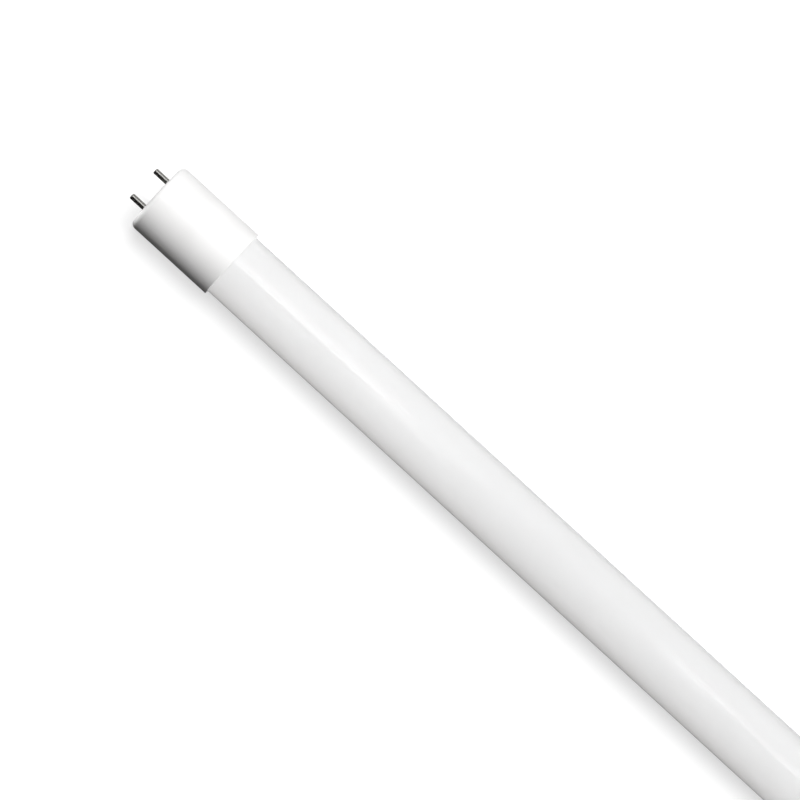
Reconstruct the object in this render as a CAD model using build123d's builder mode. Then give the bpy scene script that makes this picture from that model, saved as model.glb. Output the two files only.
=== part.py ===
from build123d import *
import os
from math import sqrt

# LED tube lamp of the 600 mm class, with a two-pin base at each end.
# It lies along X with its light side up, towards +Z, and the origin is its middle. The LED board is
# bonded to the back of the glass, and the cap at the -X end holds the driver.

os.makedirs("parts", exist_ok=True)

# Driving dimensions, in millimetres

# Whole lamp
face_length = 589.0  # from end face to end face, without the pins

# Glass tube
glass_outer_d = 26.0
glass_wall = 0.8
glass_end_chamfer = 0.2

# End caps
cap_length = 36.8
cap_lip_wall = 1.1  # where the cap goes over the glass
cap_end_wall = 2.0
cap_edge_round = 2.2
cap_lip_round = 0.2
socket_depth = 18.0  # length of glass inside each cap
shoulder_inset = 0.3  # how far the shoulder stands in past the bore of the glass

# Glue between the glass and the caps
glue_gap = 0.15
glue_fit = 0.02  # from the glue to the cap and to the glass
glue_setback = 2.0  # from the lip and from the shoulder

# Pins of the base
pin_d = 2.35
pin_spacing = 12.7
pin_length = 6.6  # outside the end face
pin_tip_round = 0.5
pin_root_d = 2.7  # in the end wall and the boss
pin_collar_d = 3.6
pin_collar_length = 0.8
pin_tail_d = 2.2
pin_tail_length = 2.4
pin_fit = 0.02  # radial, round the root
pin_boss_d = 5.0
pin_boss_length = 2.5

# Leads
lead_d = 1.4  # over the insulation
lead_core_d = 0.8
lead_core_fit = 0.05  # radial, in the tail of a pin
lead_strip = 1.6  # bare length inside the tail of a pin
lead_strip_gap = 0.2  # from the bare end to the bottom of the tail's bore
lead_bend_r = 2.2
lead_run = 0.3  # straight length before the bend
led_lead_step = 3.0  # how far a lead moves along the lamp on its way to the LED board
led_lead_straight = 3.5  # square to each board, at both ends of a lead
led_lead_bend_r = 6.0
link_reach = 5.0  # how far the far link stands in from the tails of the pins
link_bend_r = 3.0

# LED board
led_board_width = 12.0
led_board_thickness = 1.0
led_board_edge_gap = 0.1  # between the board's long edges and the glass
led_board_setback = 1.5  # from each end of the glass
bond_width = 8.0
bond_setback = 6.0  # from each end of the board

# LEDs
led_length = 3.5
led_width = 2.8
led_height = 0.7
led_pitch = 10.5
led_margin = 8.0  # from the lip of a cap to the first LED
led_window_length = 2.8
led_window_width = 2.1
led_window_depth = 0.25

# Driver board and its rails in the cap
driver_offset = 4.0  # from the lamp's axis to the face of the board that carries the tall parts
driver_thickness = 1.2
driver_edge_gap = 1.6  # from the board's long edges to the wall of the chamber
driver_end_gap = 0.3  # from the board's end to the end wall
driver_fit = 0.1  # in the rails' grooves
rail_length = 7.0
rail_grip = 1.2  # how far a rail covers the board's edge
rail_lip = 1.2  # rail on each side of the groove

# Parts on the driver board
part_gap = 1.0
wire_d = 0.6
wire_bend_r = 0.8
can_lift = 0.1
can_wire_run = 1.6
can_edge_chamfer = 0.4
can_groove_width = 0.8
can_groove_depth = 0.4
can_groove_setback = 1.4
bulk_can_d = 8.0
bulk_can_length = 11.0
bulk_wire_pitch = 3.5
output_can_d = 6.3
output_can_length = 8.0
output_wire_pitch = 2.5
varistor_d = 7.0
varistor_thickness = 3.4
varistor_chamfer = 0.8
varistor_lift = 0.6
varistor_wire_pitch = 5.0
film_length = 7.2
film_width = 4.5
film_height = 7.5
film_chamfer = 0.6
film_lift = 0.4
film_wire_pitch = 5.0
drum_d = 8.0
drum_height = 8.0
drum_flange = 1.2
drum_post_d = 4.0
winding_inset = 0.3  # from the rims of the drum to the outside of the winding
resistor_d = 2.6
resistor_length = 5.6
resistor_chamfer = 0.6
resistor_lift = 0.3
resistor_wire_span = 7.8

# Flat packages on the other face of the driver board
package_lift = 0.1
package_lead_thickness = 0.2
package_lead_reach = 1.1  # outside the body, on each side
package_foot = 0.6
bridge_length = 4.7
bridge_width = 3.9
bridge_height = 2.5
bridge_lead_count = 2  # on each side
bridge_lead_pitch = 2.5
bridge_lead_width = 0.7
chip_length = 4.9
chip_width = 3.9
chip_height = 1.5
chip_lead_count = 4
chip_lead_pitch = 1.27
chip_lead_width = 0.42
diode_length = 2.6
diode_width = 4.3
diode_height = 2.2
diode_lead_width = 1.4
sense_length = 1.6
sense_width = 3.2
sense_height = 0.55
sense_count = 2

# Sizes and places that follow from these

glass_r = glass_outer_d / 2
bore_r = glass_r - glass_wall
socket_r = glass_r + glue_gap
cap_r = socket_r + cap_lip_wall
chamber_r = bore_r - shoulder_inset
shoulder_depth = cap_length - socket_depth
glass_length = face_length - 2 * shoulder_depth

pin_seat_depth = cap_end_wall + pin_boss_length
pin_tail_depth = pin_seat_depth + pin_collar_length
pin_tail_end = pin_tail_depth + pin_tail_length
tail_bore_r = lead_core_d / 2 + lead_core_fit
tail_bore_depth = lead_strip + lead_strip_gap

led_board_length = glass_length - 2 * led_board_setback
led_board_back = sqrt((bore_r - led_board_edge_gap) ** 2 - (led_board_width / 2) ** 2)
led_board_face = led_board_back - led_board_thickness
lit_length = face_length - 2 * cap_length - 2 * led_margin
led_count = int(lit_length / led_pitch) + 1

driver_face = driver_offset + driver_thickness
driver_half_width = sqrt(chamber_r**2 - driver_face**2) - driver_edge_gap
driver_start = cap_end_wall + driver_end_gap
lead_pad = pin_tail_end + lead_run + lead_bend_r
parts_start = lead_pad + lead_d / 2 + part_gap

# One row of parts on the driver board, on the +Y side
bulk_start = parts_start
output_start = bulk_start + can_wire_run + bulk_can_length + part_gap
output_end = output_start + can_wire_run + output_can_length

# The other row, on the -Y side
film_start = parts_start + varistor_thickness + part_gap
drum_start = film_start + film_length + part_gap
led_lead_pad = drum_start + drum_d + part_gap + lead_d / 2
led_lead_across = part_gap / 2 + lead_d / 2
driver_end = max(output_end, led_lead_pad + lead_d / 2) + part_gap

# The row of flat packages, on the other face
chip_start = parts_start + bridge_length + part_gap
diode_start = chip_start + chip_length + part_gap
sense_start = diode_start + diode_length + part_gap

# Planes. An end plane lies in an end face, with its normal pointing into the lamp and its own
# y axis pointing to the back of the lamp. Depth is measured inwards from it.
live_end = Plane(origin=(-face_length / 2, 0, 0), x_dir=(0, -1, 0), z_dir=(1, 0, 0))
far_end = Plane(origin=(face_length / 2, 0, 0), x_dir=(0, 1, 0), z_dir=(-1, 0, 0))
ends = {"live": live_end, "far": far_end}
sides = {"left": -pin_spacing / 2, "right": pin_spacing / 2}  # as one faces the end, light side up
to_light = (0, 0, 1)
to_back = (0, 0, -1)
along = (1, 0, 0)
driver_parts_plane = Plane(
    origin=(-face_length / 2, 0, driver_offset), x_dir=along, z_dir=to_back
)
driver_face_plane = Plane(origin=(-face_length / 2, 0, driver_face), x_dir=along, z_dir=to_light)
led_plane = Plane(origin=(0, 0, -led_board_face), x_dir=along, z_dir=to_light)


def upright_plane(end, across):
    """Upright plane along the lamp: x is the depth from the end face, y is from the axis to the back."""
    return Plane(
        origin=end.from_local_coords((across, 0, 0)), x_dir=end.z_dir, z_dir=-end.x_dir
    )


def board_section(across):
    """Upright plane along the driver board: x is the depth and y is away from the board."""
    return Plane(
        origin=driver_parts_plane.from_local_coords((0, across, 0)),
        x_dir=along,
        z_dir=-driver_parts_plane.y_dir,
    )


def write(piece, name):
    piece.label = name
    export_step(piece, f"parts/{name}.step")


# Pieces


def make_glass_tube():
    with BuildPart() as glass:
        with BuildSketch(live_end.offset(shoulder_depth)):
            Circle(glass_r)
            Circle(bore_r, mode=Mode.SUBTRACT)
        extrude(amount=glass_length)
        chamfer(glass.edges().filter_by(GeomType.CIRCLE), length=glass_end_chamfer)
    return glass.part


def make_end_cap(end):
    """A moulded cap: a socket for the glass, and a chamber with pin bosses and board rails."""
    with BuildPart() as cap:
        with BuildSketch(upright_plane(end, 0)) as wall:
            with BuildLine():
                Polyline(
                    (0, 0),
                    (0, cap_r),
                    (cap_length, cap_r),
                    (cap_length, socket_r),
                    (shoulder_depth, socket_r),
                    (shoulder_depth, chamber_r),
                    (cap_end_wall, chamber_r),
                    (cap_end_wall, 0),
                    close=True,
                )
            make_face()
            fillet(wall.vertices().group_by(Axis.X)[0].sort_by(Axis.Y)[-1], cap_edge_round)
            fillet(wall.vertices().group_by(Axis.X)[-1].sort_by(Axis.Y)[-1], cap_lip_round)
        revolve(axis=Axis(end.origin, end.z_dir))

        with BuildSketch(end.offset(cap_end_wall)):
            with GridLocations(pin_spacing, 0, 2, 1):
                Circle(pin_boss_d / 2)
        extrude(amount=pin_boss_length)

        groove = driver_thickness + 2 * driver_fit
        with BuildSketch(end.offset(cap_end_wall)):
            Circle((chamber_r + cap_r) / 2)
            with Locations((0, -driver_offset - driver_thickness / 2)):
                Rectangle(2 * cap_r, groove + 2 * rail_lip, mode=Mode.INTERSECT)
                Rectangle(2 * (driver_half_width - rail_grip), 2 * cap_r, mode=Mode.SUBTRACT)
                Rectangle(2 * (driver_half_width + driver_fit), groove, mode=Mode.SUBTRACT)
        extrude(amount=rail_length)

        with BuildSketch(end):
            with GridLocations(pin_spacing, 0, 2, 1):
                Circle(pin_root_d / 2 + pin_fit)
        extrude(amount=pin_seat_depth, mode=Mode.SUBTRACT)
    return cap.part


def make_cap_glue(end):
    with BuildPart() as glue:
        with BuildSketch(end.offset(shoulder_depth + glue_setback)):
            Circle(socket_r - glue_fit)
            Circle(glass_r + glue_fit, mode=Mode.SUBTRACT)
        extrude(amount=socket_depth - 2 * glue_setback)
    return glue.part


def make_pin(end, across):
    """A turned pin: the contact outside, a thicker root, a collar on the boss and a bored tail."""
    with BuildPart() as pin:
        with BuildSketch(upright_plane(end, across)) as half:
            with BuildLine():
                Polyline(
                    (-pin_length, 0),
                    (-pin_length, pin_d / 2),
                    (0, pin_d / 2),
                    (0, pin_root_d / 2),
                    (pin_seat_depth, pin_root_d / 2),
                    (pin_seat_depth, pin_collar_d / 2),
                    (pin_tail_depth, pin_collar_d / 2),
                    (pin_tail_depth, pin_tail_d / 2),
                    (pin_tail_end, pin_tail_d / 2),
                    (pin_tail_end, tail_bore_r),
                    (pin_tail_end - tail_bore_depth, tail_bore_r),
                    (pin_tail_end - tail_bore_depth, 0),
                    close=True,
                )
            make_face()
            fillet(half.vertices().group_by(Axis.X)[0].sort_by(Axis.Y)[-1], pin_tip_round)
        revolve(axis=Axis(end.from_local_coords((across, 0, 0)), end.z_dir))
    return pin.part


def make_live_lead(across):
    """From the tail of a live pin, round one bend to the driver board."""
    with BuildPart() as lead:
        with BuildLine(upright_plane(live_end, across)) as route:
            FilletPolyline(
                (pin_tail_end, 0),
                (lead_pad, 0),
                (lead_pad, -driver_offset),
                radius=lead_bend_r,
            )
        start = Plane(origin=route.line @ 0, z_dir=route.line % 0)
        with BuildSketch(start):
            Circle(lead_d / 2)
        sweep()
        with BuildSketch(start):
            Circle(lead_core_d / 2)
        extrude(amount=-lead_strip)
    return lead.part


def make_led_lead(across):
    """From the driver board across to the LED board, with two easy bends."""
    rise = driver_offset + led_board_face
    with BuildPart() as lead:
        with BuildLine(board_section(across)) as route:
            FilletPolyline(
                (led_lead_pad, 0),
                (led_lead_pad, led_lead_straight),
                (led_lead_pad + led_lead_step, rise - led_lead_straight),
                (led_lead_pad + led_lead_step, rise),
                radius=led_lead_bend_r,
            )
        with BuildSketch(Plane(origin=route.line @ 0, z_dir=route.line % 0)):
            Circle(lead_d / 2)
        sweep()
    return lead.part


def make_far_link():
    """A U of lead that joins the tails of the two far pins."""
    level = Plane(origin=far_end.origin, x_dir=far_end.z_dir, z_dir=to_light)
    with BuildPart() as link:
        with BuildLine(level) as route:
            FilletPolyline(
                (pin_tail_end, -pin_spacing / 2),
                (pin_tail_end + link_reach, -pin_spacing / 2),
                (pin_tail_end + link_reach, pin_spacing / 2),
                (pin_tail_end, pin_spacing / 2),
                radius=link_bend_r,
            )
        with BuildSketch(Plane(origin=route.line @ 0, z_dir=route.line % 0)):
            Circle(lead_d / 2)
        sweep()
        with BuildSketch(far_end.offset(pin_tail_end)):
            with GridLocations(pin_spacing, 0, 2, 1):
                Circle(lead_core_d / 2)
        extrude(amount=-lead_strip)
    return link.part


def make_led_board():
    with BuildPart() as board:
        with BuildSketch(led_plane):
            Rectangle(led_board_length, led_board_width)
        extrude(amount=-led_board_thickness)
    return board.part


def make_led_board_bond():
    """The bead between the flat back of the LED board and the curve of the glass."""
    with BuildPart() as bond:
        with BuildSketch(live_end.offset(shoulder_depth + led_board_setback + bond_setback)):
            Circle(bore_r)
            with Locations((0, led_board_back)):
                Rectangle(
                    bond_width, 2 * bore_r, align=(Align.CENTER, Align.MIN), mode=Mode.INTERSECT
                )
        extrude(amount=led_board_length - 2 * bond_setback)
    return bond.part


def make_led_packages():
    with BuildPart() as packages:
        with BuildSketch(led_plane):
            with GridLocations(led_pitch, 0, led_count, 1):
                Rectangle(led_length, led_width)
        extrude(amount=led_height)
        with BuildSketch(led_plane.offset(led_height)):
            with GridLocations(led_pitch, 0, led_count, 1):
                Rectangle(led_window_length, led_window_width)
        extrude(amount=-led_window_depth, mode=Mode.SUBTRACT)
    return packages.part


def make_led_phosphors():
    with BuildPart() as phosphors:
        with BuildSketch(led_plane.offset(led_height - led_window_depth)):
            with GridLocations(led_pitch, 0, led_count, 1):
                Rectangle(led_window_length, led_window_width)
        extrude(amount=led_window_depth)
    return phosphors.part


def make_driver_board():
    with BuildPart() as board:
        with BuildSketch(driver_parts_plane):
            with Locations((driver_start, 0)):
                Rectangle(
                    driver_end - driver_start,
                    2 * driver_half_width,
                    align=(Align.MIN, Align.CENTER),
                )
        extrude(amount=-driver_thickness)
    return board.part


def make_can(start, diameter, length, wire_pitch):
    """An electrolytic capacitor lying along the board, with its wires bent to it at its start."""
    across = part_gap / 2 + diameter / 2
    height = can_lift + diameter / 2
    base = start + can_wire_run
    groove_start = base + can_groove_setback
    groove_end = groove_start + can_groove_width
    groove_r = diameter / 2 - can_groove_depth
    axle = board_section(across)
    with BuildPart() as can:
        with BuildSketch(axle) as half:
            with BuildLine():
                Polyline(
                    (base, height),
                    (base, height + diameter / 2),
                    (groove_start, height + diameter / 2),
                    (groove_start, height + groove_r),
                    (groove_end, height + groove_r),
                    (groove_end, height + diameter / 2),
                    (base + length, height + diameter / 2),
                    (base + length, height),
                    close=True,
                )
            make_face()
            chamfer(half.vertices().group_by(Axis.X)[0].sort_by(Axis.Y)[-1], can_edge_chamfer)
            chamfer(half.vertices().group_by(Axis.X)[-1].sort_by(Axis.Y)[-1], can_edge_chamfer)
        revolve(axis=Axis(axle.from_local_coords((base, height, 0)), axle.x_dir))
        for side in (-wire_pitch / 2, wire_pitch / 2):
            with BuildLine(board_section(across + side)) as route:
                FilletPolyline(
                    (start + wire_d / 2, 0),
                    (start + wire_d / 2, height),
                    (groove_start, height),
                    radius=wire_bend_r,
                )
            with BuildSketch(Plane(origin=route.line @ 0, z_dir=route.line % 0)):
                Circle(wire_d / 2)
            sweep()
    return can.part


def make_varistor():
    """A coated disc standing across the board on two wires."""
    across = -part_gap / 2 - varistor_d / 2
    height = varistor_lift + varistor_d / 2
    middle = parts_start + varistor_thickness / 2
    face = Plane(
        origin=driver_parts_plane.from_local_coords((parts_start, across, height)),
        x_dir=(0, 1, 0),
        z_dir=along,
    )
    with BuildPart() as disc:
        with BuildSketch(face):
            Circle(varistor_d / 2)
        extrude(amount=varistor_thickness)
        chamfer(disc.edges().filter_by(GeomType.CIRCLE), length=varistor_chamfer)
        with BuildSketch(driver_parts_plane):
            with Locations((middle, across)):
                with GridLocations(0, varistor_wire_pitch, 1, 2):
                    Circle(wire_d / 2)
        extrude(amount=height)
    return disc.part


def make_film_capacitor():
    across = -part_gap / 2 - film_width / 2
    middle = film_start + film_length / 2
    with BuildPart() as box:
        with BuildSketch(driver_parts_plane.offset(film_lift)):
            with Locations((middle, across)):
                Rectangle(film_length, film_width)
        extrude(amount=film_height)
        chamfer(box.edges(), length=film_chamfer)
        with BuildSketch(driver_parts_plane):
            with Locations((middle, across)):
                with GridLocations(film_wire_pitch, 0, 2, 1):
                    Circle(wire_d / 2)
        extrude(amount=film_lift + film_chamfer)
    return box.part


def make_inductor_core():
    """A ferrite drum that stands on the board."""
    across = -part_gap / 2 - drum_d / 2
    middle = drum_start + drum_d / 2
    with BuildPart() as drum:
        with BuildSketch(driver_parts_plane):
            with Locations((middle, across)):
                Circle(drum_d / 2)
        extrude(amount=drum_height)
        with BuildSketch(driver_parts_plane.offset(drum_flange)):
            with Locations((middle, across)):
                Circle(drum_d / 2)
                Circle(drum_post_d / 2, mode=Mode.SUBTRACT)
        extrude(amount=drum_height - 2 * drum_flange, mode=Mode.SUBTRACT)
    return drum.part


def make_inductor_winding():
    across = -part_gap / 2 - drum_d / 2
    middle = drum_start + drum_d / 2
    with BuildPart() as winding:
        with BuildSketch(driver_parts_plane.offset(drum_flange)):
            with Locations((middle, across)):
                Circle(drum_d / 2 - winding_inset)
                Circle(drum_post_d / 2, mode=Mode.SUBTRACT)
        extrude(amount=drum_height - 2 * drum_flange)
    return winding.part


def make_fusible_resistor():
    """A coated resistor on one bent wire, between the two live leads."""
    height = resistor_lift + resistor_d / 2
    middle = (driver_start + parts_start) / 2
    axle = board_section(0)
    with BuildPart() as resistor:
        with BuildLine(axle) as route:
            FilletPolyline(
                (middle - resistor_wire_span / 2, 0),
                (middle - resistor_wire_span / 2, height),
                (middle + resistor_wire_span / 2, height),
                (middle + resistor_wire_span / 2, 0),
                radius=wire_bend_r,
            )
        with BuildSketch(Plane(origin=route.line @ 0, z_dir=route.line % 0)):
            Circle(wire_d / 2)
        sweep()
        with BuildSketch(axle) as half:
            with Locations((middle, height)):
                Rectangle(resistor_length, resistor_d / 2, align=(Align.CENTER, Align.MIN))
            chamfer(half.vertices().group_by(Axis.Y)[-1], resistor_chamfer)
        revolve(axis=Axis(axle.from_local_coords((middle, height, 0)), axle.x_dir))
    return resistor.part


def spread(count, pitch):
    """Places of a row of copies, about its middle."""
    return [(index - (count - 1) / 2) * pitch for index in range(count)]


def make_package(start, length, width, height, lead_places, lead_width):
    """A flat package on the board, with bent leads along both of its sides."""
    middle = start + length / 2
    half_width = width / 2
    lead_top = package_lift + (height - package_lift) / 2
    with BuildPart() as package:
        with BuildSketch(driver_face_plane.offset(package_lift)):
            with Locations((middle, 0)):
                Rectangle(length, width)
        extrude(amount=height - package_lift)
        for place in lead_places:
            across = Plane(
                origin=driver_face_plane.from_local_coords((middle + place, 0, 0)),
                x_dir=driver_face_plane.y_dir,
                z_dir=driver_face_plane.x_dir,
            )
            with BuildSketch(across) as bent:
                with BuildLine():
                    Polyline(
                        (half_width - package_foot, lead_top),
                        (half_width + package_lead_reach - package_foot, lead_top),
                        (half_width + package_lead_reach - package_foot, package_lead_thickness / 2),
                        (half_width + package_lead_reach, package_lead_thickness / 2),
                    )
                trace(line_width=package_lead_thickness)
                mirror(about=Plane.YZ)
            extrude(amount=lead_width / 2, both=True)
    return package.part


def make_sense_resistors():
    with BuildPart() as resistors:
        with BuildSketch(driver_face_plane):
            for index in range(sense_count):
                with Locations((sense_start + index * (sense_length + part_gap), 0)):
                    Rectangle(sense_length, sense_width, align=(Align.MIN, Align.CENTER))
        extrude(amount=sense_height)
    return resistors.part


write(make_glass_tube(), "glass_tube")

for end_name, end_plane in ends.items():
    write(make_end_cap(end_plane), f"{end_name}_end_cap")
    write(make_cap_glue(end_plane), f"{end_name}_cap_glue")
    for side_name, side in sides.items():
        write(make_pin(end_plane, side), f"{end_name}_pin_{side_name}")

write(make_led_board(), "led_board")
write(make_led_board_bond(), "led_board_bond")
write(make_led_packages(), "led_packages")
write(make_led_phosphors(), "led_phosphors")

write(make_driver_board(), "driver_board")
write(make_fusible_resistor(), "fusible_resistor")
write(make_varistor(), "varistor")
write(make_film_capacitor(), "film_capacitor")
write(make_can(bulk_start, bulk_can_d, bulk_can_length, bulk_wire_pitch), "bulk_capacitor")
write(make_can(output_start, output_can_d, output_can_length, output_wire_pitch), "output_capacitor")
write(make_inductor_core(), "inductor_core")
write(make_inductor_winding(), "inductor_winding")
bridge_places = spread(bridge_lead_count, bridge_lead_pitch)
chip_places = spread(chip_lead_count, chip_lead_pitch)
write(
    make_package(
        parts_start, bridge_length, bridge_width, bridge_height, bridge_places, bridge_lead_width
    ),
    "bridge_rectifier",
)
write(
    make_package(chip_start, chip_length, chip_width, chip_height, chip_places, chip_lead_width),
    "controller_chip",
)
write(
    make_package(diode_start, diode_length, diode_width, diode_height, [0], diode_lead_width),
    "freewheel_diode",
)
write(make_sense_resistors(), "sense_resistors")

for side_name, side in sides.items():
    write(make_live_lead(side), f"live_lead_{side_name}")
write(make_led_lead(-led_lead_across), "led_lead_positive")
write(make_led_lead(-led_lead_across - lead_d - part_gap), "led_lead_negative")
write(make_far_link(), "far_link_lead")
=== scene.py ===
import math

import bmesh
import bpy
from mathutils import Matrix, Vector


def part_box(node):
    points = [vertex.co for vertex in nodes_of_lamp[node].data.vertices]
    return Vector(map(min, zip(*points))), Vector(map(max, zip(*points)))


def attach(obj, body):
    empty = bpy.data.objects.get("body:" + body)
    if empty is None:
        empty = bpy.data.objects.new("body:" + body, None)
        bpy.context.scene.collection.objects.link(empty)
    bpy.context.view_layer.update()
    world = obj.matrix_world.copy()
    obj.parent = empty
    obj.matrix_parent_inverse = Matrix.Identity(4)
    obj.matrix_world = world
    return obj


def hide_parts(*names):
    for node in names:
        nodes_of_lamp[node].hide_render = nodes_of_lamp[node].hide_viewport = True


# The LED tube lamp as it looks: the opal glass, the moulded end caps and the plated pins are made
# again here with finer shapes, and the parts inside keep their solids and get finishes of their own.
# All lengths are in metres. The lamp lies along X with its light side up.

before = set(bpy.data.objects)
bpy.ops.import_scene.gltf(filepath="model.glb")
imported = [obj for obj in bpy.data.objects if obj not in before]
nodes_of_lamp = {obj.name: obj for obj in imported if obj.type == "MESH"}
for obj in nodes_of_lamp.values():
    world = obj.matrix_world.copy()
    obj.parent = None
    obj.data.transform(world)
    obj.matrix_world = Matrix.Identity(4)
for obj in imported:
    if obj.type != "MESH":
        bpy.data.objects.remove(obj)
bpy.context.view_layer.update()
scene = bpy.context.scene
mm = 0.001


def turned_radius(low, high):
    """The radius of a solid turned round the X axis, whose facets may fall short on some sides."""
    return max(-low.y, high.y, -low.z, high.z)


# Sizes read from the solids
glass_low, glass_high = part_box("glass_tube")
cap_low, cap_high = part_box("live_end_cap")
pin_low, pin_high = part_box("live_pin_left")

glass_half_length = glass_high.x
glass_r = turned_radius(glass_low, glass_high)
face_x = -cap_low.x
cap_r = turned_radius(cap_low, cap_high)
cap_length = cap_high.x - cap_low.x
pin_length = cap_low.x - pin_low.x
pin_y = (pin_low.y + pin_high.y) / 2
shoulder_depth = face_x - glass_half_length

# Sizes that the boxes of the solids don't show
bore_r = 12.2 * mm
glass_end_round = 0.2 * mm
socket_r = 13.15 * mm
chamber_r = 11.9 * mm
end_wall = 2.0 * mm
edge_round = 2.2 * mm
lip_round = 0.2 * mm
pin_plate_r = 10.0 * mm  # the middle of the end wall, which holds the pins
hole_r = 1.37 * mm
boss_r = 2.5 * mm
seat_depth = 4.5 * mm
pin_r = 1.175 * mm
pin_root_r = 1.35 * mm
pin_collar_r = 1.8 * mm
pin_collar_end = 5.3 * mm
pin_tail_r = 1.1 * mm
pin_tail_end = 7.7 * mm
pin_bore_r = 0.45 * mm
pin_bore_end = 5.9 * mm
pin_tip_round = 0.5 * mm

# The rails for the driver board, with X from the end plane
rail_root_x = 1.5 * mm  # inside the end wall
rail_end_x = 9.0 * mm
rail_inner_y = 7.904 * mm
rail_low_z = 2.7 * mm
rail_low_outer_y = 12.51 * mm  # inside the round wall, as the next is
rail_high_outer_y = 11.03 * mm
rail_high_z = 6.5 * mm
groove_y = 9.204 * mm
groove_low_z = 3.9 * mm
groove_high_z = 5.3 * mm

tiny = 0.005 * mm  # points nearer than this are one point
sharp_angle = math.radians(32)  # an edge that turns more than this stays sharp


# Shapes


def turn(bm, profile, steps, closed=False):
    """Spins a half section of (x, radius) points round the X axis."""
    verts = [bm.verts.new((x, radius, 0)) for x, radius in profile]
    edges = [bm.edges.new(pair) for pair in zip(verts, verts[1:])]
    if closed:
        edges.append(bm.edges.new((verts[-1], verts[0])))
    bmesh.ops.spin(
        bm,
        geom=verts + edges,
        cent=(0, 0, 0),
        axis=(1, 0, 0),
        dvec=(0, 0, 0),
        angle=2 * math.pi,
        steps=steps,
        use_merge=True,
        use_duplicate=False,
    )
    bmesh.ops.remove_doubles(bm, verts=bm.verts, dist=tiny)


def ring(bm, x, radius):
    """The edges of the turned ring at that place."""
    return [
        edge
        for edge in bm.edges
        if all(
            abs(vert.co.x - x) < tiny and abs(math.hypot(vert.co.y, vert.co.z) - radius) < tiny
            for vert in edge.verts
        )
    ]


def round_ring(bm, x, radius, size, segments):
    bmesh.ops.bevel(
        bm,
        geom=ring(bm, x, radius),
        offset=size,
        offset_type="OFFSET",
        affect="EDGES",
        segments=segments,
        profile=0.5,
        material=-1,
    )


def circle(bm, x, y, radius, segments=48):
    """A loop of edges square to X."""
    place = Matrix.Translation((x, y, 0)) @ Matrix.Rotation(math.pi / 2, 4, "Y")
    made = bmesh.ops.create_circle(
        bm, cap_ends=False, segments=segments, radius=radius, matrix=place
    )
    return list({edge for vert in made["verts"] for edge in vert.link_edges})


def settle(bm, live):
    """Moves a piece from its end plane to its end of the lamp."""
    bmesh.ops.translate(bm, verts=bm.verts, vec=(-face_x, 0, 0))
    if not live:
        bmesh.ops.rotate(
            bm, verts=bm.verts, cent=(0, 0, 0), matrix=Matrix.Rotation(math.pi, 3, "Z")
        )


def new_piece(bm, name, finish):
    """Closes the mesh, points its faces outwards and makes it an object with smooth curves."""
    bmesh.ops.remove_doubles(bm, verts=bm.verts, dist=tiny)
    bmesh.ops.recalc_face_normals(bm, faces=bm.faces)
    mesh = bpy.data.meshes.new(name)
    bm.to_mesh(mesh)
    bm.free()
    mesh.shade_smooth()
    mesh.set_sharp_from_angle(angle=sharp_angle)
    mesh.materials.append(finish)
    piece = bpy.data.objects.new(name, mesh)
    scene.collection.objects.link(piece)
    return piece


def stand_for(piece, node):
    """Puts a finished piece in the place of its CAD node."""
    flat_faces = piece.modifiers.new("flat faces stay flat", "WEIGHTED_NORMAL")
    flat_faces.keep_sharp = True
    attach(piece, "root")
    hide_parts(node)


def opal_tube(finish):
    bm = bmesh.new()
    half = glass_half_length
    section = [(-half, bore_r), (-half, glass_r), (half, glass_r), (half, bore_r)]
    turn(bm, section, steps=192, closed=True)
    for x in (-half, half):
        round_ring(bm, x, glass_r, glass_end_round, segments=3)
        round_ring(bm, x, bore_r, glass_end_round, segments=3)
    piece = new_piece(bm, "opal_tube", finish)
    stand_for(piece, "glass_tube")


def board_rails(finish, live):
    """The two grooved rails on the end wall, which hold a driver board by its edges."""
    bm = bmesh.new()
    section = [
        (rail_inner_y, rail_low_z),
        (rail_low_outer_y, rail_low_z),
        (rail_high_outer_y, rail_high_z),
        (rail_inner_y, rail_high_z),
        (rail_inner_y, groove_high_z),
        (groove_y, groove_high_z),
        (groove_y, groove_low_z),
        (rail_inner_y, groove_low_z),
    ]
    for side in (-1, 1):
        face = bm.faces.new([bm.verts.new((rail_root_x, side * y, z)) for y, z in section])
        moved = bmesh.ops.extrude_face_region(bm, geom=[face])["geom"]
        ends = [part for part in moved if isinstance(part, bmesh.types.BMVert)]
        bmesh.ops.translate(bm, verts=ends, vec=(rail_end_x - rail_root_x, 0, 0))
    settle(bm, live)
    return new_piece(bm, "rails", finish)


def join_rails(cap, rails):
    """Makes the rails one with the wall of the cap."""
    union = cap.modifiers.new("rails", "BOOLEAN")
    union.operation = "UNION"
    union.solver = "EXACT"
    union.object = rails
    graph = bpy.context.evaluated_depsgraph_get()
    joined = bpy.data.meshes.new_from_object(cap.evaluated_get(graph))
    cap.modifiers.remove(union)
    cap.data = joined
    joined.set_sharp_from_angle(angle=sharp_angle)
    bpy.data.objects.remove(rails)


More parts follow.
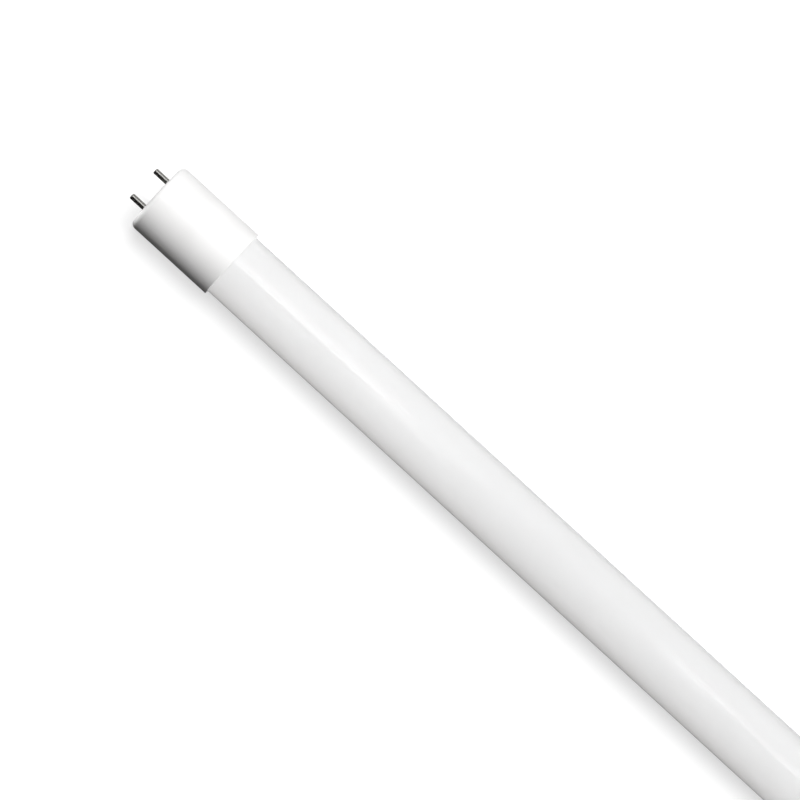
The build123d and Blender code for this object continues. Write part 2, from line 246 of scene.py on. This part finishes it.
def moulded_cap(finish, end_name, live):
    """A socket for the glass, a chamber behind its shoulder, and an end wall with two pin bosses."""
    bm = bmesh.new()
    section = [
        (0, pin_plate_r),
        (0, cap_r),
        (cap_length, cap_r),
        (cap_length, socket_r),
        (shoulder_depth, socket_r),
        (shoulder_depth, chamber_r),
        (end_wall, chamber_r),
        (end_wall, pin_plate_r),
    ]
    turn(bm, section, steps=160)
    round_ring(bm, 0, cap_r, edge_round, segments=10)
    round_ring(bm, cap_length, cap_r, lip_round, segments=5)
    front = ring(bm, 0, pin_plate_r)
    back = ring(bm, end_wall, pin_plate_r)
    for y in (-pin_y, pin_y):
        hole_front = circle(bm, 0, y, hole_r)
        hole_back = circle(bm, seat_depth, y, hole_r)
        boss_top = circle(bm, seat_depth, y, boss_r)
        boss_foot = circle(bm, end_wall, y, boss_r)
        bmesh.ops.bridge_loops(bm, edges=hole_front + hole_back)
        bmesh.ops.bridge_loops(bm, edges=hole_back + boss_top)
        bmesh.ops.bridge_loops(bm, edges=boss_top + boss_foot)
        front = front + hole_front
        back = back + boss_foot
    bmesh.ops.triangle_fill(bm, use_beauty=True, edges=front)
    bmesh.ops.triangle_fill(bm, use_beauty=True, edges=back)
    settle(bm, live)
    piece = new_piece(bm, f"{end_name}_cap_moulding", finish)
    join_rails(piece, board_rails(finish, live))
    stand_for(piece, f"{end_name}_end_cap")


def turned_pin(finish, end_name, live, side_name, y):
    """The contact outside, and the root, collar and bored tail inside the cap."""
    bm = bmesh.new()
    section = [
        (-pin_length, 0),
        (-pin_length, pin_r),
        (0, pin_r),
        (0, pin_root_r),
        (seat_depth, pin_root_r),
        (seat_depth, pin_collar_r),
        (pin_collar_end, pin_collar_r),
        (pin_collar_end, pin_tail_r),
        (pin_tail_end, pin_tail_r),
        (pin_tail_end, pin_bore_r),
        (pin_bore_end, pin_bore_r),
        (pin_bore_end, 0),
    ]
    turn(bm, section, steps=64)
    round_ring(bm, -pin_length, pin_r, pin_tip_round, segments=8)
    bmesh.ops.translate(bm, verts=bm.verts, vec=(0, y, 0))
    settle(bm, live)
    piece = new_piece(bm, f"{end_name}_contact_{side_name}", finish)
    stand_for(piece, f"{end_name}_pin_{side_name}")


# Finishes

noise_low = 0.3  # the noise seldom leaves these two
noise_high = 0.7
coat_variation = 0.1  # of the roughness


def new_finish(name):
    finish = bpy.data.materials.new(name)
    finish.use_nodes = True
    tree = finish.node_tree
    return finish, tree, tree.nodes["Principled BSDF"]


def grain(tree, per_metre, detail=3.0):
    """Noise that is fixed to the piece, with its own scale along X, Y and Z."""
    place = tree.nodes.new("ShaderNodeTexCoord")
    mapping = tree.nodes.new("ShaderNodeMapping")
    mapping.inputs["Scale"].default_value = per_metre
    noise = tree.nodes.new("ShaderNodeTexNoise")
    noise.inputs["Scale"].default_value = 1.0
    noise.inputs["Detail"].default_value = detail
    tree.links.new(place.outputs["Object"], mapping.inputs["Vector"])
    tree.links.new(mapping.outputs["Vector"], noise.inputs["Vector"])
    return noise.outputs["Fac"]


def colour(tree, factor, shader, dark, light):
    """Gives a finish a colour between two tones."""
    ramp = tree.nodes.new("ShaderNodeValToRGB")
    first, last = ramp.color_ramp.elements
    first.position = noise_low
    first.color = (*dark, 1)
    last.position = noise_high
    last.color = (*light, 1)
    tree.links.new(factor, ramp.inputs["Fac"])
    tree.links.new(ramp.outputs["Color"], shader.inputs["Base Color"])


def roughen(tree, factor, shader, low, high):
    """Gives a finish a roughness between two levels."""
    span = tree.nodes.new("ShaderNodeMapRange")
    span.inputs["From Min"].default_value = noise_low
    span.inputs["From Max"].default_value = noise_high
    span.inputs["To Min"].default_value = low
    span.inputs["To Max"].default_value = high
    tree.links.new(factor, span.inputs["Value"])
    tree.links.new(span.outputs["Result"], shader.inputs["Roughness"])


def relief(tree, factor, shader, depth, strength):
    bump = tree.nodes.new("ShaderNodeBump")
    bump.inputs["Distance"].default_value = depth
    bump.inputs["Strength"].default_value = strength
    tree.links.new(factor, bump.inputs["Height"])
    tree.links.new(bump.outputs["Normal"], shader.inputs["Normal"])


def opal_glass():
    finish, tree, shader = new_finish("opal_glass")
    cloud = grain(tree, (9, 60, 60))
    colour(tree, cloud, shader, dark=(0.865, 0.865, 0.862), light=(0.895, 0.895, 0.893))
    roughen(tree, cloud, shader, low=0.06, high=0.09)
    shader.inputs["IOR"].default_value = 1.5
    shader.inputs["Subsurface Weight"].default_value = 1.0
    shader.inputs["Subsurface Radius"].default_value = (1.0, 0.97, 0.94)
    shader.inputs["Subsurface Scale"].default_value = 16.0 * mm
    return finish


def cap_plastic():
    finish, tree, shader = new_finish("cap_plastic")
    cloud = grain(tree, (90, 90, 90))
    colour(tree, cloud, shader, dark=(0.89, 0.89, 0.885), light=(0.92, 0.92, 0.917))
    speckle = grain(tree, (2600, 2600, 2600), detail=2.0)
    roughen(tree, speckle, shader, low=0.36, high=0.46)
    relief(tree, speckle, shader, depth=0.02 * mm, strength=0.12)
    shader.inputs["Specular IOR Level"].default_value = 0.35
    return finish


def pin_nickel():
    finish, tree, shader = new_finish("pin_nickel")
    lines = grain(tree, (9000, 260, 260), detail=2.0)
    colour(tree, lines, shader, dark=(0.36, 0.355, 0.34), light=(0.5, 0.49, 0.47))
    roughen(tree, lines, shader, low=0.2, high=0.3)
    relief(tree, lines, shader, depth=0.01 * mm, strength=0.2)
    shader.inputs["Metallic"].default_value = 1.0
    return finish


def coated(name, dark, light, per_metre, roughness, metallic=0.0):
    """A plain coat with a slight grain, for the parts inside."""
    finish, tree, shader = new_finish(name)
    speckle = grain(tree, per_metre)
    colour(tree, speckle, shader, dark, light)
    roughen(tree, speckle, shader, low=roughness, high=roughness + coat_variation)
    shader.inputs["Metallic"].default_value = metallic
    return finish


fine = (1500, 1500, 1500)
coarse = (300, 300, 300)
wound = (300, 300, 6000)

# Dark tone, light tone, grain and roughness of each coat, and 1 for bare metal
inside_coats = {
    "silicone": ((0.78, 0.78, 0.76), (0.84, 0.84, 0.82), coarse, 0.4),
    "led_board_white": ((0.8, 0.8, 0.78), (0.86, 0.86, 0.85), coarse, 0.45),
    "led_body": ((0.82, 0.82, 0.8), (0.88, 0.88, 0.87), fine, 0.4),
    "phosphor": ((0.78, 0.62, 0.12), (0.86, 0.72, 0.2), fine, 0.5),
    "driver_board_green": ((0.02, 0.12, 0.05), (0.04, 0.19, 0.08), coarse, 0.35),
    "resistor_coat": ((0.12, 0.24, 0.2), (0.18, 0.32, 0.27), fine, 0.5),
    "varistor_coat": ((0.02, 0.06, 0.3), (0.04, 0.1, 0.42), fine, 0.4),
    "film_coat": ((0.45, 0.12, 0.03), (0.56, 0.17, 0.05), fine, 0.4),
    "can_sleeve": ((0.012, 0.014, 0.02), (0.025, 0.028, 0.04), coarse, 0.35),
    "package_black": ((0.014, 0.014, 0.015), (0.03, 0.03, 0.032), fine, 0.55),
    "ferrite": ((0.03, 0.03, 0.032), (0.06, 0.06, 0.063), fine, 0.6),
    "copper_wire": ((0.6, 0.24, 0.1), (0.8, 0.36, 0.18), wound, 0.3, 1.0),
    "lead_white": ((0.72, 0.72, 0.7), (0.8, 0.8, 0.79), coarse, 0.45),
    "lead_red": ((0.4, 0.012, 0.012), (0.52, 0.025, 0.02), coarse, 0.45),
    "lead_black": ((0.012, 0.012, 0.012), (0.028, 0.028, 0.028), coarse, 0.45),
}

inside_pieces = {
    "silicone": ("live_cap_glue", "far_cap_glue", "led_board_bond"),
    "led_board_white": ("led_board",),
    "led_body": ("led_packages",),
    "phosphor": ("led_phosphors",),
    "driver_board_green": ("driver_board",),
    "resistor_coat": ("fusible_resistor",),
    "varistor_coat": ("varistor",),
    "film_coat": ("film_capacitor",),
    "can_sleeve": ("bulk_capacitor", "output_capacitor"),
    "package_black": ("bridge_rectifier", "controller_chip", "freewheel_diode", "sense_resistors"),
    "ferrite": ("inductor_core",),
    "copper_wire": ("inductor_winding",),
    "lead_white": ("live_lead_left", "live_lead_right", "far_link_lead"),
    "lead_red": ("led_lead_positive",),
    "lead_black": ("led_lead_negative",),
}

for coat_name, piece_names in inside_pieces.items():
    coat = coated(coat_name, *inside_coats[coat_name])
    for piece_name in piece_names:
        nodes_of_lamp[piece_name].material_slots[0].material = coat

opal_tube(opal_glass())
cap_finish = cap_plastic()
pin_finish = pin_nickel()
for end_name, live in (("live", True), ("far", False)):
    moulded_cap(cap_finish, end_name, live)
    for side_name, y in (("left", pin_y), ("right", -pin_y)):
        turned_pin(pin_finish, end_name, live, side_name, y)


# Camera, above the live half of the lamp and a little to its -Y side

view_tilt = math.radians(13)
picture_slope = math.radians(42.5)  # of the lamp, down to the right
middle_along = -0.17983  # the middle of the picture, on the lamp
middle_across = 0.00484
camera_distance = 3.249

along = Vector((1, 0, 0))
across = Vector((0, math.cos(view_tilt), math.sin(view_tilt)))
to_camera = along.cross(across)
picture_right = math.cos(picture_slope) * along + math.sin(picture_slope) * across
picture_up = math.cos(picture_slope) * across - math.sin(picture_slope) * along
picture_middle = along * middle_along + across * middle_across

camera_data = bpy.data.cameras.new("camera")
camera_data.sensor_width = 36
camera_data.lens = 405
camera_data.clip_end = 100
camera = bpy.data.objects.new("camera", camera_data)
turned = Matrix((picture_right, picture_up, to_camera)).transposed().to_4x4()
camera.matrix_world = Matrix.Translation(picture_middle + to_camera * camera_distance) @ turned
scene.collection.objects.link(camera)
scene.camera = camera


# Stage and light

far_off = 30.0  # half the width of the floor
floor_z = -cap_r
card_z = floor_z + 0.1 * mm
liner_gap = 0.05 * mm  # from the bore of the glass
liner_setback = 1.0 * mm  # from each end of the glass
edge_lamp_size = 2.5 * mm
edge_lamp_gap = 3.0 * mm  # from the end face
edge_lamp_inset = 0.35 * mm  # from the outside of the cap


def from_side(degrees):
    """The direction that many degrees off the view, round the lamp towards +Y."""
    angle = math.radians(degrees)
    return math.cos(angle) * to_camera + math.sin(angle) * across


def sun(name, direction, strength, spread, tint=(1, 1, 1)):
    """A distant lamp. A white surface that faces it is as bright as its strength."""
    data = bpy.data.lights.new(name, "SUN")
    data.energy = strength * math.pi
    data.angle = math.radians(spread)
    data.color = tint
    lamp = bpy.data.objects.new(name, data)
    lamp.rotation_mode = "QUATERNION"
    lamp.rotation_quaternion = direction.to_track_quat("Z", "Y")
    lamp.visible_glossy = False
    scene.collection.objects.link(lamp)


def edge_lamp(name, degrees, power):
    """A tiny lamp close to the live end that brightens its rounded edge on the shaded side."""
    data = bpy.data.lights.new(name, "AREA")
    data.shape = "DISK"
    data.size = edge_lamp_size
    data.energy = power
    lamp = bpy.data.objects.new(name, data)
    out_from_axis = from_side(degrees) * (cap_r - edge_lamp_inset)
    place = out_from_axis - along * (face_x + edge_lamp_gap)
    lamp.matrix_world = Matrix.Translation(place) @ Matrix.Rotation(-math.pi / 2, 4, "Y")
    lamp.visible_camera = False
    lamp.visible_glossy = False
    scene.collection.objects.link(lamp)


def stage_piece(name, bm):
    mesh = bpy.data.meshes.new(name)
    bm.to_mesh(mesh)
    bm.free()
    made = bpy.data.objects.new(name, mesh)
    scene.collection.objects.link(made)
    return made


def sheet(name, corners):
    bm = bmesh.new()
    bm.faces.new([bm.verts.new(corner) for corner in corners])
    return stage_piece(name, bm)


def flat_sheet(name, low_x, high_x, low_y, high_y, z):
    """A sheet that lies flat and faces up."""
    return sheet(
        name, [(low_x, low_y, z), (high_x, low_y, z), (high_x, high_y, z), (low_x, high_y, z)]
    )


def drum(name, radius, length, closed):
    """A thin cylinder round the lamp's axis."""
    bm = bmesh.new()
    bmesh.ops.create_cone(
        bm,
        cap_ends=closed,
        segments=96,
        radius1=radius,
        radius2=radius,
        depth=length,
        matrix=Matrix.Rotation(math.pi / 2, 4, "Y"),
    )
    return stage_piece(name, bm)


def grey(shade):
    return (shade, shade, shade, 1)


def seen(tree):
    """1 for the rays that show the background: from the camera, from gloss and through glass."""
    path = tree.nodes.new("ShaderNodeLightPath")
    mirrored = tree.nodes.new("ShaderNodeMath")
    mirrored.operation = "MAXIMUM"
    shown = tree.nodes.new("ShaderNodeMath")
    shown.operation = "MAXIMUM"
    tree.links.new(path.outputs["Is Glossy Ray"], mirrored.inputs[0])
    tree.links.new(path.outputs["Is Transmission Ray"], mirrored.inputs[1])
    tree.links.new(path.outputs["Is Camera Ray"], shown.inputs[0])
    tree.links.new(mirrored.outputs[0], shown.inputs[1])
    return shown.outputs[0]


def floor_paper(lit_shade, glow_strength, bounce_shade):
    """White with a soft shadow where it is seen, and dark to the light that it throws back."""
    paper = bpy.data.materials.new("floor_paper")
    paper.use_nodes = True
    tree = paper.node_tree
    tree.nodes.clear()
    out = tree.nodes.new("ShaderNodeOutputMaterial")
    lit = tree.nodes.new("ShaderNodeBsdfDiffuse")
    lit.inputs["Color"].default_value = grey(lit_shade)
    glow = tree.nodes.new("ShaderNodeEmission")
    glow.inputs["Strength"].default_value = glow_strength
    white = tree.nodes.new("ShaderNodeAddShader")
    dim = tree.nodes.new("ShaderNodeBsdfDiffuse")
    dim.inputs["Color"].default_value = grey(bounce_shade)
    choice = tree.nodes.new("ShaderNodeMixShader")
    tree.links.new(lit.outputs[0], white.inputs[0])
    tree.links.new(glow.outputs[0], white.inputs[1])
    tree.links.new(seen(tree), choice.inputs[0])
    tree.links.new(dim.outputs[0], choice.inputs[1])
    tree.links.new(white.outputs[0], choice.inputs[2])
    tree.links.new(choice.outputs[0], out.inputs["Surface"])
    return paper


def card_paint(name, shade):
    paint = bpy.data.materials.new(name)
    paint.use_nodes = True
    shader = paint.node_tree.nodes["Principled BSDF"]
    shader.inputs["Base Color"].default_value = grey(shade)
    shader.inputs["Specular IOR Level"].default_value = 0.0
    return paint


def fading_glow(name, axis, start, end, start_strength, end_strength):
    """Glows from one strength to another along an axis."""
    glowing = bpy.data.materials.new(name)
    glowing.use_nodes = True
    tree = glowing.node_tree
    tree.nodes.clear()
    out = tree.nodes.new("ShaderNodeOutputMaterial")
    glow = tree.nodes.new("ShaderNodeEmission")
    place = tree.nodes.new("ShaderNodeTexCoord")
    split = tree.nodes.new("ShaderNodeSeparateXYZ")
    fade = tree.nodes.new("ShaderNodeMapRange")
    fade.inputs["From Min"].default_value = start
    fade.inputs["From Max"].default_value = end
    fade.inputs["To Min"].default_value = start_strength
    fade.inputs["To Max"].default_value = end_strength
    tree.links.new(place.outputs["Object"], split.inputs["Vector"])
    tree.links.new(split.outputs[axis], fade.inputs["Value"])
    tree.links.new(fade.outputs["Result"], glow.inputs["Strength"])
    tree.links.new(glow.outputs[0], out.inputs["Surface"])
    return glowing


def softbox(name, start, end, near_degrees, far_degrees, near_strength, far_strength):
    """A soft light 1 m from the lamp that shows only as a streak on the glossy surfaces."""
    near = from_side(near_degrees)
    far = from_side(far_degrees)
    box = sheet(
        name, [along * start + near, along * end + near, along * end + far, along * start + far]
    )
    box.data.materials.append(fading_glow(name, "Y", near.y, far.y, near_strength, far_strength))
    box.visible_camera = False
    box.visible_diffuse = False
    box.visible_shadow = False


def bore_light(fade_start, fade_end, live_strength, far_strength):
    """The light inside the bore, which shows through the opal glass, most at the live end."""
    length = 2 * (glass_half_length - liner_setback)
    liner = drum("bore_light", bore_r - liner_gap, length, closed=False)
    shine = fading_glow("bore_light", "X", fade_start, fade_end, live_strength, far_strength)
    shine.cycles.emission_sampling = "NONE"
    liner.data.materials.append(shine)
    liner.visible_camera = False
    liner.visible_glossy = False


def dim_tent(radius, fade_start, fade_end, shaded_strength, bright_strength):
    """A dim cloth all round the stage, darkest on the shaded side, which the gloss mirrors."""
    cloth = drum("dim_tent", radius, 2 * radius, closed=True)
    shine = fading_glow("dim_tent", "Y", fade_start, fade_end, shaded_strength, bright_strength)
    shine.cycles.emission_sampling = "NONE"
    cloth.data.materials.append(shine)
    cloth.visible_camera = False
    cloth.visible_diffuse = False
    cloth.visible_shadow = False


def studio_air(fill_strength, fill_tint):
    """White behind the lamp, and a faint warm fill on its shaded side."""
    air = bpy.data.worlds.new("studio_air")
    air.use_nodes = True
    tree = air.node_tree
    tree.nodes.clear()
    out = tree.nodes.new("ShaderNodeOutputWorld")
    back = tree.nodes.new("ShaderNodeBackground")
    back.inputs["Strength"].default_value = 1.0
    fill = tree.nodes.new("ShaderNodeBackground")
    fill.inputs["Color"].default_value = (*fill_tint, 1)
    fill.inputs["Strength"].default_value = fill_strength
    choice = tree.nodes.new("ShaderNodeMixShader")
    tree.links.new(seen(tree), choice.inputs[0])
    tree.links.new(fill.outputs[0], choice.inputs[1])
    tree.links.new(back.outputs[0], choice.inputs[2])
    tree.links.new(choice.outputs[0], out.inputs["Surface"])
    return air


floor = flat_sheet("floor", -far_off, far_off, -far_off, far_off, floor_z)
floor.data.materials.append(floor_paper(lit_shade=0.47, glow_strength=0.66, bounce_shade=0.05))
floor.visible_shadow = False  # the bounce lamp shines from under it

# Cards that the camera doesn't see: the light they throw back is what the lamp's sides get from below
for card_name, low_x, high_x, low_y, high_y, shade in (
    ("dark_card", -0.45, 0.6, -0.5, 0.0, 0.01),
    ("grey_card", -0.2577, 0.6, 0.0225, 0.5, 0.3),
):
    card = flat_sheet(card_name, low_x, high_x, low_y, high_y, card_z)
    card.data.materials.append(card_paint(card_name, shade))
    card.visible_camera = False
    card.visible_shadow = False

# Start and end along X, degrees round the lamp of the near and far edge, and the strength at each
for streak in (
    ("softbox_near", -0.6, -0.1715, 10, 49, 2.9, 0.4),
    ("softbox_near_end", -0.1715, -0.127, 14, 70, 0.9, 0.4),
    ("softbox_low", -0.195, -0.15, -9, 9.9, 1.3, 1.6),
    ("softbox_middle", -0.009, 0.044, 17, 38, 2.5, 1.2),
    ("softbox_middle_low", -0.009, 0.019, -3, 16.9, 0.9, 1.2),
    ("softbox_far", 0.056, 0.8, 10, 34, 2.8, 0.4),
):
    softbox(*streak)

bore_light(fade_start=-0.19, fade_end=-0.105, live_strength=0.855, far_strength=0.8)
dim_tent(radius=3.0, fade_start=-0.3, fade_end=1.5, shaded_strength=0.02, bright_strength=0.4)

sun("key", from_side(22.5), strength=1.02, spread=44)
sun("side_fill", from_side(75), strength=0.1, spread=40)
sun("live_end_fill", Vector((-1, -0.05, 0.12)), strength=0.34, spread=8)
sun("far_end_fill", Vector((1, 0.05, 0.12)), strength=0.55, spread=8)
sun("floor_bounce", from_side(-165), strength=0.7, spread=14, tint=(1, 0.99, 0.98))
for index, degrees in enumerate((-66, -52, -38)):
    edge_lamp(f"edge_lamp_{index}", degrees, power=0.00005)

scene.world = studio_air(fill_strength=0.018, fill_tint=(1.0, 0.75, 0.72))
scene.view_settings.view_transform = "Standard"
